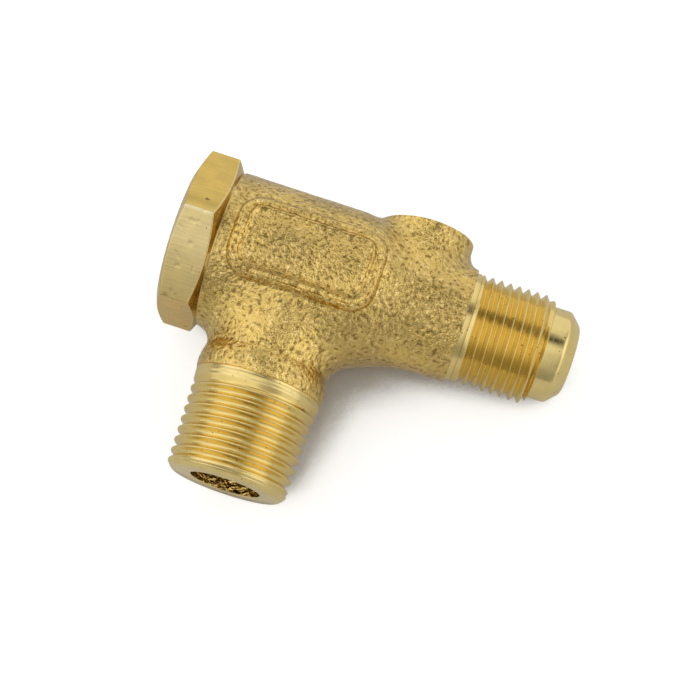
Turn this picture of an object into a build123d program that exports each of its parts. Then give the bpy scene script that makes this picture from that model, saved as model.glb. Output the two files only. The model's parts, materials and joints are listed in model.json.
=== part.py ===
"""Brass non-return valve for a compressor's air tank.

Air comes in at the nipple, lifts a spring-loaded piston off its seat and leaves by the branch, which
screws into the tank. The piston, its rubber disc and the spring go in through the barrel's open end,
which a hexagon cap closes.

Millimetres. The model is drawn about the point where the two bore axes cross: +X runs along the main
axis to the nipple, -Y down the branch, +Y out of the side boss, +Z out of the nameplate. The valve
lies on its side with the nameplate up. The last step moves the origin under the middle of the valve,
at the height of its lowest edge.
"""
from build123d import *
import math
import os

# Places along the main axis, from the branch axis
MOUTH_X = -13.4           # open end of the barrel, where the cap seats
SHOULDER_X = 12.2         # where the barrel's full diameter ends
NECK_X = 16.7             # where the shoulder's cone meets the neck
COLLAR_X = 29.2           # end of the cast skin, start of the machined nipple
INLET_THREAD_X = 30.4     # first thread of the nipple
PILOT_X = 43.1            # end of the nipple's thread
NOSE_X = 46.4             # start of the 45 degree nose
INLET_END_X = 48.55       # end of the nipple

# Radii and diameters along the main axis
BARREL_R = 13.45
NECK_R = 10.1
NECK_END_R = 9.9          # the neck tapers a little, as a casting does
COLLAR_R = 9.3
INLET_THREAD_D = 19.05    # 3/4 inch, 16 threads to the inch
PILOT_R = 8.05
NOSE_END_R = 5.9
NOSE_ROUND = 0.8          # where the pilot turns into the nose
NOSE_TIP_ROUND = 0.4
INLET_BORE_D = 9.5
BORE_EDGE = 0.4           # chamfer at a bore's mouth
SHOULDER_ROUND = 3.0      # convex round at the barrel's end
SHOULDER_FILLET = 5.0     # concave sweep into the neck

# Branch, with lengths down its axis
ROOT_DROP = 3.15          # from the barrel's skin to the narrowest place of the cast root
BEAD_DROP = 3.0           # on to the fullest place of the cast bead
BEAD_END_DROP = 1.6       # on to the end of the cast skin
RING_WIDTH = 1.3          # machined ring between cast skin and thread
TANK_THREAD_LENGTH = 16.0
ROOT_R = 10.4
BEAD_R = 11.05
RING_R = 10.8
OUTLET_BORE_D = 12.0
GAUGE_D = 20.955          # taper pipe thread, 1/2 inch, 14 threads to the inch
GAUGE_LENGTH = 8.16       # from the small end to the gauge plane
TAPER = 1 / 16            # on the diameter
OUTLET_CHAMFER = 0.7
OUTLET_FLARE = 1.4        # how far the bore opens out into the chamber, at 45 degrees
BRANCH_FILLET = 2.4       # between barrel and branch

# Side boss and its tapped port
BOSS_X = 19.5
BOSS_R = 7.8
BOSS_STAND = 0.45         # how far its face stands out past the barrel
BOSS_FILLET = 1.5         # between boss, barrel and neck
BOSS_EDGE = 0.4
PORT_TAP_R = 4.28         # 1/8 inch parallel pipe thread at its crests
PORT_TAP_LENGTH = 6.6
PORT_DRILL_D = 5.0

# Nameplate on the barrel
PLATE_LEFT_X = -11.4
PLATE_RIGHT_X = 13.9
PLATE_HEIGHT = 14.4
PLATE_CORNER_R = 4.2
PLATE_RISE = 0.75         # its face follows the barrel, this much further out
PLATE_EDGE = 0.35
PLATE_SPARE = 1.0         # how far the turned forms that trim the plate reach past its ends
LINE_INSET = 1.7          # from the plate's edge to the raised line round the field
LINE_WIDTH = 0.8
LINE_RISE = 0.3
LINE_EDGE = 0.15

# Valve chamber and seat
CHAMBER_R = 10.1
CHAMBER_FLOOR_X = 8.2
SEAT_X = 6.85
SEAT_OUTER_R = 6.3
SEAT_CREST_R = 5.6
CAP_THREAD_R = 11.0       # M22 x 1.5
CAP_THREAD_END_X = -5.4   # inner end of the cap's thread in the barrel
THREAD_CLEARANCE = 0.03

# Hexagon cap
HEX_AF = 27.0
HEX_TURN = 28.1           # degrees from +Y to the first corner, as the cap came to rest when tight
FACE_RISE = 0.3           # turned face that keeps the hexagon off the barrel's mouth
FACE_INSET = 1.5          # from the flats to the turned face's edge
HEX_THICKNESS = 7.3
HEX_CHAMFER_INSET = 1.2   # from the flats to the start of the corner chamfer
BAR_SPARE = 1.0           # how far the chamfering tool starts outside the corners
HEX_CHAMFER_ANGLE = 20.0
SPIGOT_LENGTH = 7.8
SPIGOT_CHAMFER = 0.8
CAP_WALL = 2.5            # left behind the guide bore
GROOVE_R = 9.55           # O-ring groove next to the turned face
GROOVE_LENGTH = 2.0
O_RING_SECTION = 1.7
O_RING_CLEARANCE = 0.05
MOUTH_RECESS_R = 11.4     # room for the O-ring in the barrel's mouth

# Piston, disc and spring
STEM_R = 6.0
GUIDE_CLEARANCE = 0.1
HEAD_R = 7.9
HEAD_BACK_X = 1.8
HEAD_FACE_X = 6.35
DISC_R = 6.9
DISC_THICKNESS = 2.4
DISC_CLEARANCE = 0.03
SEAT_GAP = 0.05           # between disc and seat at rest
HEAD_WEB = 1.6            # brass between the spring's end and the disc's cup
LIFT = 4.5
STOP_GAP = 0.1            # left between stem and cap at full lift
PISTON_CHAMFER = 0.5
SPRING_BORE_R = 4.7
SPRING_CLEARANCE = 0.3    # between the coil and the stem's bore
SPRING_WIRE_R = 0.4
SPRING_TURNS = 7

# Places and radii that follow from the sizes above
BOSS_FACE_Y = BARREL_R + BOSS_STAND
ROOT_DEPTH = BARREL_R + ROOT_DROP
BEAD_DEPTH = ROOT_DEPTH + BEAD_DROP
RING_DEPTH = BEAD_DEPTH + BEAD_END_DROP
TANK_THREAD_DEPTH = RING_DEPTH + RING_WIDTH
OUTLET_DEPTH = TANK_THREAD_DEPTH + TANK_THREAD_LENGTH
HEX_FLAT_R = HEX_AF / 2
FACE_R = HEX_FLAT_R - FACE_INSET
HEX_CHAMFER_R = HEX_FLAT_R - HEX_CHAMFER_INSET
HEX_INNER_X = MOUTH_X - FACE_RISE
HEX_OUTER_X = HEX_INNER_X - HEX_THICKNESS
SPIGOT_END_X = MOUTH_X + SPIGOT_LENGTH
GUIDE_BOTTOM_X = HEX_OUTER_X + CAP_WALL
STEM_END_X = GUIDE_BOTTOM_X + LIFT + STOP_GAP
DISC_FACE_X = SEAT_X - SEAT_GAP
CUP_FLOOR_X = DISC_FACE_X - DISC_THICKNESS
SPRING_END_X = CUP_FLOOR_X - HEAD_WEB
INLET_THREAD_R = INLET_THREAD_D / 2
THREAD_STEP = INLET_THREAD_R - COLLAR_R
INLET_BORE_R = INLET_BORE_D / 2

MAIN_AXIS = Axis((0, 0, 0), (1, 0, 0))
BRANCH_AXIS = Axis((0, 0, 0), (0, 1, 0))
TOUCH = 0.01              # how near an edge must lie to a place to be picked by it


def along_x(outline):
    """Turn an outline of (x, radius) points about the main axis."""
    return revolve(make_face(Polyline(*outline, close=True)), MAIN_AXIS)


def distance_from_boss_axis(point):
    return math.hypot(point.X - BOSS_X, point.Z)


def distance_from_branch_axis(point):
    return math.hypot(point.X, point.Z)


def distance_from_main_axis(point):
    return math.hypot(point.Y, point.Z)


def edges_at(shape, distance, radius):
    """Edges that lie all along at one distance from an axis."""
    stations = (0, 0.25, 0.5, 0.75, 1)
    found = [
        edge for edge in shape.edges()
        if all(abs(distance(edge.position_at(t)) - radius) < TOUCH for t in stations)
    ]
    return ShapeList(found)


def barrel_and_nipple():
    """Barrel, shoulder, neck and nipple as one turned form, with the shoulder swept into the neck."""
    turned = along_x([
        (MOUTH_X, 0),
        (MOUTH_X, BARREL_R),
        (SHOULDER_X, BARREL_R),
        (NECK_X, NECK_R),
        (COLLAR_X, NECK_END_R),
        (COLLAR_X, COLLAR_R),
        (INLET_THREAD_X, COLLAR_R),
        (INLET_THREAD_X + THREAD_STEP, INLET_THREAD_R),
        (PILOT_X - THREAD_STEP, INLET_THREAD_R),
        (PILOT_X, COLLAR_R),
        (PILOT_X + THREAD_STEP, PILOT_R),
        (NOSE_X, PILOT_R),
        (INLET_END_X, NOSE_END_R),
        (INLET_END_X, 0),
    ])
    for place, radius in (
        (SHOULDER_X, SHOULDER_ROUND),
        (NECK_X, SHOULDER_FILLET),
        (NOSE_X, NOSE_ROUND),
        (INLET_END_X, NOSE_TIP_ROUND),
    ):
        rings = turned.edges().filter_by(GeomType.CIRCLE)
        nearest = rings.sort_by(lambda edge: abs(edge.center().X - place))[0]
        turned = fillet(nearest, radius)
    return turned


def tank_thread_radius(depth):
    """Crest radius of the taper thread at a depth below the main axis."""
    past_gauge = GAUGE_LENGTH - (OUTLET_DEPTH - depth)
    return GAUGE_D / 2 - past_gauge * TAPER / 2


def branch():
    """Cast root with its bead, the machined ring and the envelope of the taper thread."""
    chamfer_depth = OUTLET_DEPTH - OUTLET_CHAMFER
    skin = Spline(
        (ROOT_R, -ROOT_DEPTH),
        (BEAD_R, -BEAD_DEPTH),
        (RING_R, -RING_DEPTH),
        tangents=((0, -1), (-1, -2)),
    )
    outline = Polyline(
        (RING_R, -RING_DEPTH),
        (RING_R, -TANK_THREAD_DEPTH),
        (tank_thread_radius(TANK_THREAD_DEPTH), -TANK_THREAD_DEPTH),
        (tank_thread_radius(chamfer_depth), -chamfer_depth),
        (tank_thread_radius(OUTLET_DEPTH) - OUTLET_CHAMFER, -OUTLET_DEPTH),
        (0, -OUTLET_DEPTH),
        (0, 0),
        (ROOT_R, 0),
        (ROOT_R, -ROOT_DEPTH),
    )
    return revolve(make_face(skin + outline), BRANCH_AXIS)


def boss():
    """Round boss for the side port, standing on the neck away from the branch."""
    post = extrude(Plane.XZ * Pos(BOSS_X, 0) * Circle(BOSS_R), -BOSS_FACE_Y)
    return fillet(post.edges().filter_by(lambda e: e.center().Y > BOSS_FACE_Y - TOUCH), BOSS_EDGE)


def rounded_block(inset):
    """The nameplate's outline, drawn in by an inset, as a block through the barrel's front."""
    length = PLATE_RIGHT_X - PLATE_LEFT_X - 2 * inset
    middle = (PLATE_RIGHT_X + PLATE_LEFT_X) / 2
    outline = RectangleRounded(length, PLATE_HEIGHT - 2 * inset, PLATE_CORNER_R - inset)
    return extrude(Pos(middle, 0, BARREL_R / 2) * outline, BARREL_R)


def nameplate():
    """Raised plate that follows the barrel, with a raised line round its bare field."""
    face_r = BARREL_R + PLATE_RISE
    line_r = face_r + LINE_RISE
    start = PLATE_LEFT_X - PLATE_SPARE
    end = PLATE_RIGHT_X + PLATE_SPARE
    inside_face = along_x([(start, 0), (start, face_r), (end, face_r), (end, 0)])
    inside_line = along_x([(start, 0), (start, line_r), (end, line_r), (end, 0)])
    plate = rounded_block(0) & inside_face
    plate = fillet(edges_at(plate, distance_from_main_axis, face_r), PLATE_EDGE)
    line = (rounded_block(LINE_INSET) - rounded_block(LINE_INSET + LINE_WIDTH)) & inside_line
    line = fillet(edges_at(line, distance_from_main_axis, line_r), LINE_EDGE)
    return plate, line


def main_bore():
    """What the boring tool takes out along the main axis: mouth, thread, chamber, seat and inlet."""
    recess_x = MOUTH_X + GROOVE_LENGTH
    return along_x([
        (MOUTH_X, 0),
        (MOUTH_X, MOUTH_RECESS_R),
        (recess_x, MOUTH_RECESS_R),
        (recess_x, CAP_THREAD_R),
        (CAP_THREAD_END_X, CAP_THREAD_R),
        (CAP_THREAD_END_X, CHAMBER_R),
        (CHAMBER_FLOOR_X, CHAMBER_R),
        (CHAMBER_FLOOR_X, SEAT_OUTER_R),
        (SEAT_X, SEAT_CREST_R),
        (SEAT_X, INLET_BORE_R),
        (INLET_END_X - BORE_EDGE, INLET_BORE_R),
        (INLET_END_X, INLET_BORE_R + BORE_EDGE),
        (INLET_END_X, 0),
    ])


def branch_bore():
    """The cored way out, flared where it leaves the chamber, to the end of the branch."""
    bore_r = OUTLET_BORE_D / 2
    flare_r = bore_r + OUTLET_FLARE
    chamber_end = CAP_THREAD_R - OUTLET_FLARE / 2
    outline = Polyline(
        (0, -CHAMBER_R / 2),
        (flare_r, -CHAMBER_R / 2),
        (flare_r, -chamber_end),
        (bore_r, -chamber_end - OUTLET_FLARE),
        (bore_r, -OUTLET_DEPTH),
        (0, -OUTLET_DEPTH),
        close=True,
    )
    return revolve(make_face(outline), BRANCH_AXIS)


def side_port():
    """Tapped hole in the boss, with a smaller drilling on into the inlet bore."""
    tap_end = BOSS_FACE_Y - PORT_TAP_LENGTH
    drill_r = PORT_DRILL_D / 2
    outline = Polyline(
        (BOSS_X, BOSS_FACE_Y),
        (BOSS_X + PORT_TAP_R + BORE_EDGE, BOSS_FACE_Y),
        (BOSS_X + PORT_TAP_R, BOSS_FACE_Y - BORE_EDGE),
        (BOSS_X + PORT_TAP_R, tap_end),
        (BOSS_X + drill_r, tap_end - (PORT_TAP_R - drill_r) / 2),
        (BOSS_X + drill_r, 0),
        (BOSS_X, 0),
        close=True,
    )
    return revolve(make_face(outline), Axis((BOSS_X, 0, 0), (0, 1, 0)))


def valve_body():
    """The casting, machined at the mouth, chamber, nipple, branch and boss."""
    casting = barrel_and_nipple() + boss()
    seam = edges_at(casting, distance_from_boss_axis, BOSS_R)
    seam = seam.filter_by(lambda e: e.geom_type != GeomType.LINE and e.center().Y < BOSS_FACE_Y - BOSS_EDGE)
    casting = fillet(seam.filter_by(GeomType.BSPLINE), BOSS_FILLET)
    casting = casting + branch()
    seam = edges_at(casting, distance_from_branch_axis, ROOT_R)
    casting = fillet(seam.filter_by(GeomType.BSPLINE), BRANCH_FILLET)
    plate, line = nameplate()
    casting = casting + plate + line
    return casting - main_bore() - branch_bore() - side_port()


def hex_cap():
    """Cap turned from hexagon bar: chamfered head, turned face, O-ring groove, thread and guide bore."""
    corner_r = HEX_FLAT_R / math.cos(math.pi / 6)
    blank_r = corner_r + BAR_SPARE
    slope = (blank_r - HEX_CHAMFER_R) * math.tan(math.radians(HEX_CHAMFER_ANGLE))
    bar = Plane.YZ.offset(HEX_OUTER_X) * RegularPolygon(corner_r, 6, rotation=HEX_TURN)
    head = extrude(bar, HEX_THICKNESS) & along_x([
        (HEX_OUTER_X, 0),
        (HEX_OUTER_X, HEX_CHAMFER_R),
        (HEX_OUTER_X + slope, blank_r),
        (HEX_INNER_X - slope, blank_r),
        (HEX_INNER_X, HEX_CHAMFER_R),
        (HEX_INNER_X, 0),
    ])
    thread_r = CAP_THREAD_R - THREAD_CLEARANCE
    groove_x = MOUTH_X + GROOVE_LENGTH
    spigot = along_x([
        (HEX_INNER_X, 0),
        (HEX_INNER_X, FACE_R),
        (MOUTH_X, FACE_R),
        (MOUTH_X, GROOVE_R),
        (groove_x, GROOVE_R),
        (groove_x, thread_r),
        (SPIGOT_END_X - SPIGOT_CHAMFER, thread_r),
        (SPIGOT_END_X, thread_r - SPIGOT_CHAMFER),
        (SPIGOT_END_X, 0),
    ])
    guide_r = STEM_R + GUIDE_CLEARANCE
    guide = along_x([
        (GUIDE_BOTTOM_X, 0),
        (GUIDE_BOTTOM_X, guide_r),
        (SPIGOT_END_X - BORE_EDGE, guide_r),
        (SPIGOT_END_X, guide_r + BORE_EDGE),
        (SPIGOT_END_X, 0),
    ])
    return head + spigot - guide


def cap_o_ring():
    """O-ring in the cap's groove, shut in by the recess in the barrel's mouth."""
    section_r = O_RING_SECTION / 2
    ring_r = GROOVE_R + O_RING_CLEARANCE + section_r
    section = Plane.XY * Pos(MOUTH_X + GROOVE_LENGTH / 2, ring_r) * Circle(section_r)
    return revolve(section, MAIN_AXIS)


def valve_piston():
    """Turned piston: stem, head with a cup for the disc, and a bore for the spring."""
    cup_r = DISC_R + DISC_CLEARANCE
    return along_x([
        (STEM_END_X, SPRING_BORE_R),
        (STEM_END_X, STEM_R - PISTON_CHAMFER),
        (STEM_END_X + PISTON_CHAMFER, STEM_R),
        (HEAD_BACK_X, STEM_R),
        (HEAD_BACK_X, HEAD_R - PISTON_CHAMFER),
        (HEAD_BACK_X + PISTON_CHAMFER, HEAD_R),
        (HEAD_FACE_X, HEAD_R),
        (HEAD_FACE_X, cup_r),
        (CUP_FLOOR_X, cup_r),
        (CUP_FLOOR_X, 0),
        (SPRING_END_X, 0),
        (SPRING_END_X, SPRING_BORE_R),
    ])


def seal_disc():
    """Rubber disc in the piston's cup, standing a little proud of the brass."""
    return along_x([
        (CUP_FLOOR_X, 0),
        (CUP_FLOOR_X, DISC_R),
        (DISC_FACE_X, DISC_R),
        (DISC_FACE_X, 0),
    ])


def return_spring():
    """Compression spring from the bottom of the cap's guide bore to the piston's head."""
    coil_r = SPRING_BORE_R - SPRING_CLEARANCE - SPRING_WIRE_R
    length = SPRING_END_X - GUIDE_BOTTOM_X - 2 * SPRING_WIRE_R
    path = Helix(
        length / SPRING_TURNS,
        length,
        coil_r,
        center=(GUIDE_BOTTOM_X + SPRING_WIRE_R, 0, 0),
        direction=(1, 0, 0),
    )
    section = Plane(origin=path @ 0, z_dir=path % 0) * Circle(SPRING_WIRE_R)
    return sweep(section, path, is_frenet=True)


def main():
    pieces = {
        "valve_body": valve_body(),
        "hex_cap": hex_cap(),
        "cap_o_ring": cap_o_ring(),
        "valve_piston": valve_piston(),
        "seal_disc": seal_disc(),
        "return_spring": return_spring(),
    }
    box = Compound(children=[piece.solid() for piece in pieces.values()]).bounding_box()
    to_base = Pos(-box.center().X, -box.center().Y, -box.min.Z)
    print("bore axes cross at", to_base.position)
    os.makedirs("parts", exist_ok=True)
    for name, piece in pieces.items():
        export_step(to_base * piece.solid(), "parts/" + name + ".step")


if __name__ == "__main__":
    main()
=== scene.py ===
"""Looks of a brass non-return valve: its sand-cast skin, cut threads, turned ends and hexagon cap.

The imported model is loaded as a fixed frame. The casting is drawn again as one blended form with a sand
grain, the nipple and the branch get their threads, and the cap gets worn edges. Lengths are in
millimetres about the point where the two bore axes cross, until a mesh is made in metres.
"""
import json
import math

import bmesh
import bpy
import numpy as np
from bpy.props import FloatProperty, FloatVectorProperty, IntProperty, PointerProperty
from mathutils import Matrix, Vector, noise


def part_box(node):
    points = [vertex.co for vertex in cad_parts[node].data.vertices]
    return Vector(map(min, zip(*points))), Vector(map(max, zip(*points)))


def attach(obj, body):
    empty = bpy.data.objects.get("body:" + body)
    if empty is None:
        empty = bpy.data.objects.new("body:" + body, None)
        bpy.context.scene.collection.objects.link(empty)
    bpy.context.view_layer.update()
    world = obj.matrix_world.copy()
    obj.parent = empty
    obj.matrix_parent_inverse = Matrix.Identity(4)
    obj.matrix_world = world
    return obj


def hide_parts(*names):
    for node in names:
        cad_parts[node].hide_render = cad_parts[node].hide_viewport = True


bl_info = {
    "name": "Non-return valve looks",
    "version": (1, 0, 0),
    "blender": (4, 5, 0),
    "location": "3D View > Sidebar > Valve",
    "description": "Builds the casting, threads, cap and stage of a brass non-return valve",
    "category": "Object",
}

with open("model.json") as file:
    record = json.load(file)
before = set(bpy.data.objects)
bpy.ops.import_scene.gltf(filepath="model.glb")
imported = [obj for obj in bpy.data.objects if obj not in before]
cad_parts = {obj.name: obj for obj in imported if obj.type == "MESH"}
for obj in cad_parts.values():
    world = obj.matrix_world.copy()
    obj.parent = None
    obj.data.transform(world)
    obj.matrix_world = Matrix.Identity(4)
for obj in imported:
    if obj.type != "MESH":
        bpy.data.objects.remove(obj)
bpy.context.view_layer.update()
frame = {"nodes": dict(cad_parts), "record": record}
MM = 0.001
MOUNTS = {mount["name"]: mount for mount in frame["record"]["mounts"]}


def mount_place(name):
    return np.array(MOUNTS[name]["pos_m"]) / MM


# Where the bore axes cross, in the frame
MAIN_BORE = mount_place("inlet_thread")
TANK_END = mount_place("tank_thread")
CROSS = np.array([TANK_END[0], MAIN_BORE[1], MAIN_BORE[2]])


def node_span(name, axis):
    """Lowest and highest place of a node along one axis, from the crossing."""
    low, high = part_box(name)
    return low[axis] / MM - CROSS[axis], high[axis] / MM - CROSS[axis]


# Ends of the casting and the cap, as the solids have them
MOUTH_X, INLET_END_X = node_span("valve_body", 0)
OUTLET_Y, BOSS_FACE_Y = node_span("valve_body", 1)
HEX_OUTER_X, SPIGOT_END_X = node_span("hex_cap", 0)

# Barrel, shoulder and neck, up to the collar where the nipple is turned
BARREL_R = 13.42
SHOULDER_X = 12.2
NECK_X = 16.7
NECK_R = 10.1
NECK_END_R = 9.9
COLLAR_X = 29.2
COLLAR_R = 9.3

# Branch: root, bead and machined ring
BRANCH_TOP_Y = 2.0
ROOT_Y = -16.8
ROOT_R = 10.45
BEAD_Y = -19.6
BEAD_R = 11.05
RING_Y = -21.2
RING_R = 10.8

# Boss with its tapped port
BOSS_X = mount_place("side_port")[0] - CROSS[0]
BOSS_R = 7.75
PORT_R = MOUNTS["side_port"]["dims"]["r_mm"]
PORT_CHAMFER = 0.7
PORT_TAP_LENGTH = 6.6
PORT_THREAD_SHORT = 0.6
PORT_THREAD_DEPTH = 0.55
PORT_PITCH = 0.907
PORT_DRILL_R = 2.5
PORT_POINT = 0.9

# Nameplate on the barrel. Its rim and raised line: place inside the edge, half width and height
PLATE_LEFT_X = -11.4
PLATE_RIGHT_X = 13.9
PLATE_HALF_HEIGHT = 7.2
PLATE_CORNER_R = 4.2
PLATE_LEAN = 0.4
PLATE_RISE = 0.8
PLATE_RIDGES = ((0.60, 0.32, 0.36), (2.15, 0.34, 0.50))

# Widths over which the casting's forms run into each other
SHOULDER_BLEND = 3.0
NECK_BLEND = 4.5
BOSS_BLEND = 3.2
BRANCH_BLEND = 4.5
END_BLEND = 1.0
PLATE_EDGE_BLEND = 0.45
PLATE_FOOT_BLEND = 0.35

# Sand grain: how many lumps there are to a millimetre, and the share of each size in the height
FINE_GRAIN = 1.15
FINE_SHARE = 0.7
COARSE_GRAIN = 0.55
COARSE_SHARE = 0.5
COARSE_SHIFT = Vector((7, 3, 1))

# Room round the casting on the grid that its skin is drawn on, and how far in its ends are shut
GRID_SPARE = 1.2
GRID_UNDER = 1.0
GRID_OVER = 2.2
GRID_SHUT = 0.6

# Bores inside the casting. A cutter starts a little outside the metal
BORE_SEGMENTS = 96
CUTTER_SPARE = 1.0
BORE_EDGE = 0.4
MOUTH_RECESS_R = 11.4
CAP_THREAD_R = 11.0
CAP_THREAD_END_X = -5.4
CHAMBER_R = 10.1
CHAMBER_FLOOR_X = 8.2
SEAT_X = 6.85
SEAT_OUTER_R = 6.3
SEAT_CREST_R = 5.6
INLET_BORE_R = MOUNTS["inlet_bore"]["dims"]["r_mm"]
OUTLET_BORE_R = MOUNTS["outlet_bore"]["dims"]["r_mm"]
OUTLET_FLARE = 1.4

# Threads as (share of the pitch, share of the depth) over one turn
SHARP_THREAD = (
    (0.0, 0.0), (0.02, 0.0), (0.06, 0.05), (0.44, 0.93), (0.49, 1.0), (0.53, 1.0), (0.58, 0.93), (0.96, 0.05),
)
PIPE_THREAD = (
    (0.0, 0.0), (0.04, 0.0), (0.08, 0.05), (0.14, 0.26), (0.24, 0.58), (0.36, 0.86),
    (0.46, 0.97), (0.56, 1.0), (0.66, 0.95), (0.78, 0.76), (0.88, 0.44), (0.96, 0.07),
)
METRIC_THREAD = ((0.0, 0.0), (0.08, 0.0), (0.5, 1.0), (0.62, 1.0))

# Nipple: thread of 16 to the inch, plain pilot and 45 degree nose
INLET_R = MOUNTS["inlet_thread"]["dims"]["r_mm"]
INLET_PITCH = 25.4 / 16
INLET_THREAD_DEPTH = 0.95
INLET_LEAD = 0.75
PILOT_X = 43.1
PILOT_R = 8.05
CONE_X = 46.4
CONE_END_R = 5.9
# Turned band before the thread: place beyond the collar, height over its radius
BAND_STEPS = ((0.0, 0.15), (0.7, 0.15), (0.78, -0.1), (0.9, -0.1), (1.0, 0.1))
BAND_LENGTH = 1.05
THREAD_OVERRUN = 0.1
# Down from the thread to the pilot: place beyond its start, height over its radius
PILOT_STEPS = ((0.16, 0.55), (0.2, 0.15), (0.3, 0.0))
# Round between the pilot and the cone: place beyond the cone's start, depth below the pilot
CONE_STEPS = ((-0.45, 0.0), (-0.15, 0.04), (0.1, 0.14), (0.35, 0.34), (1.6, 1.6), (1.9, 1.95))
# Small end of the cone: place before the nipple's end, depth below the cone's end
NOSE_STEPS = ((0.06, 0.2), (0.0, 0.5))

# Tank end: taper pipe thread of 14 to the inch, 1 in 16 on the diameter
GAUGE_R = 20.955 / 2
GAUGE_LENGTH = 8.16
TAPER = 1 / 32
TANK_PITCH = 1.8143
TANK_THREAD_DEPTH = 0.78
TANK_LEAD_IN = 2.6
TANK_THREAD_SHORT = 1.0
# Machined ring: depth below its start, depth inside its radius
RING_STEPS = (
    (0.0, 0.1), (0.1, 0.0), (0.5, 0.0), (0.56, 0.06), (0.66, 0.06), (0.72, 0.02), (1.2, 0.04), (1.3, 0.1),
)
RING_LENGTH = 1.35
# Turned end: height above the branch's end, depth inside the thread's crest
END_STEPS = ((0.95, 0.05), (0.75, 0.16), (0.70, 0.26), (0.60, 0.26), (0.1, 0.75), (0.0, 0.95))
CORE_EDGE = 0.12

# Cap: hexagon of 27 mm, turned face, seal groove, metric thread and guide bore
HEX_INNER_X = MOUTH_X - 0.3
HEX_FLAT_R = 13.5
HEX_TURN = 28.1
HEX_CHAMFER_R = HEX_FLAT_R - 1.2
HEX_CHAMFER_SLOPE = math.tan(math.radians(20))
HEX_FACE_MID_R = 7
FACE_R = 13.1
# Steps of a corner and of a flat, in degrees, and rows along the side
CORNER_STEPS = (0, 0.1, 0.2, 0.3)
FLAT_START = 0.7
FLAT_STEPS = 78
SIDE_ROWS = 42
GROOVE_R = 9.55
GROOVE_LENGTH = 2.0
CAP_CREST_R = 10.97
CAP_LEAD = 0.2
CAP_PITCH = 1.5
CAP_THREAD_DEPTH = 0.75
SPIGOT_CHAMFER = 0.8
GUIDE_R = 6.1
GUIDE_BOTTOM_X = HEX_OUTER_X + 2.5

# Knocks on the hexagon: degrees round from the first corner, place along the bar, half length, half
# width, degrees that it leans from the bar's direction, depth
KNOCKS = (
    (67.5, -17.9, 0.55, 0.35, 20, 0.055),
    (66.5, -16.9, 0.30, 0.22, 0, 0.045),
    (82.0, -17.2, 0.40, 0.30, 30, 0.055),
    (99.5, -18.2, 0.45, 0.28, 0, 0.060),
    (92.0, -18.8, 0.75, 0.16, 50, 0.045),
    (99.0, -15.7, 0.55, 0.15, 75, 0.045),
    (116.5, -18.0, 0.45, 0.18, 60, 0.050),
    (73.0, -19.6, 0.60, 0.16, 35, 0.040),
    (15.5, -16.9, 0.60, 0.16, -15, 0.035),
    (22.0, -18.6, 0.30, 0.20, 0, 0.025),
    (59.9, -16.5, 0.35, 0.30, 0, 0.060),
    (119.8, -18.8, 0.40, 0.30, 0, 0.060),
    (118.0, -17.3, 0.28, 0.22, 0, 0.045),
)

# Bar colour round the hexagon, at degrees from the first corner, with painted light:
# lit and shaded flats, a thin painted highlight along the edge at 60 degrees and a painted gradient across
# the middle flat
BAR_TINTS_AND_PAINTED_LIGHT = (
    (0, (0.74, 0.52, 0.14)), (49, (0.74, 0.52, 0.14)), (53, (0.62, 0.43, 0.11)),
    (57, (0.74, 0.53, 0.15)), (59.3, (0.76, 0.55, 0.17)), (59.7, (1.0, 0.86, 0.52)),
    (60.4, (1.0, 0.86, 0.52)), (61, (0.86, 0.68, 0.31)), (78, (0.88, 0.70, 0.33)),
    (96, (0.72, 0.56, 0.24)), (119.9, (0.56, 0.43, 0.17)), (120.1, (0.84, 0.57, 0.15)),
    (180, (0.82, 0.56, 0.15)), (180.1, (0.74, 0.54, 0.20)), (360, (0.80, 0.56, 0.16)),
)
EDGE_TINT = (0.84, 0.65, 0.29)
FACE_TINT = (0.66, 0.50, 0.20)
SPIGOT_TINT = (0.82, 0.62, 0.25)
# Where the paler band along the hexagon's edge towards the casting begins and ends, and how deep it reaches
EDGE_BAND = (-0.05, 0.2)
EDGE_DEPTH = 0.2

# Noise in the finishes, in features to the metre, and the heights of their bumps in metres
SKIN_GRAIN = 1350
SKIN_PATCHES = 130
SKIN_BUMP = 0.00034
TOOL_LINES = 4200
TURNED_CLOUD = 420
TURNED_SPECKS = 2400
TURNED_BUMP = 0.000012
BAR_STRETCH = (0.045, 1, 1)
BAR_LINES = 2600
BAR_CLOUD = 300
BAR_SPECKS = 900
BAR_BUMP = 0.000018
RUBBER_CLOUD = 700
RUBBER_BUMP = 0.00003
WIRE_CLOUD = 1200
WIRE_BUMP = 0.00001

# Colours of dirt and of what isn't brass, and how far the handled bar is dulled or brightened
TURNED_DIRT = (0.22, 0.12, 0.04, 1.0)
BAR_DIRT = (0.30, 0.19, 0.07, 1.0)
BAR_DULL = (0.90, 0.90, 0.92, 1.0)
BAR_BRIGHT = (1.05, 1.05, 1.03, 1.0)
RUBBER_DARK = (0.02, 0.02, 0.023, 1.0)
RUBBER_PALE = (0.045, 0.045, 0.05, 1.0)
WIRE_DARK = (0.50, 0.50, 0.51, 1.0)
WIRE_PALE = (0.70, 0.70, 0.71, 1.0)

# Floor: half its side in metres, the side that the room's light favours, how far round a shadow is looked
# for, how open to the sky the floor is where its lift to white begins and ends, and its glow in reflections
FLOOR_HALF = 3.0
KEY_AZIMUTH = 192
KEY_ELEVATION = 58
SHADOW_REACH = 0.05
SHADOW_SAMPLES = 16
OPEN_FROM = 0.365
OPEN_TO = 0.465
MIRRORED_GLOW = 0.06

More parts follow.
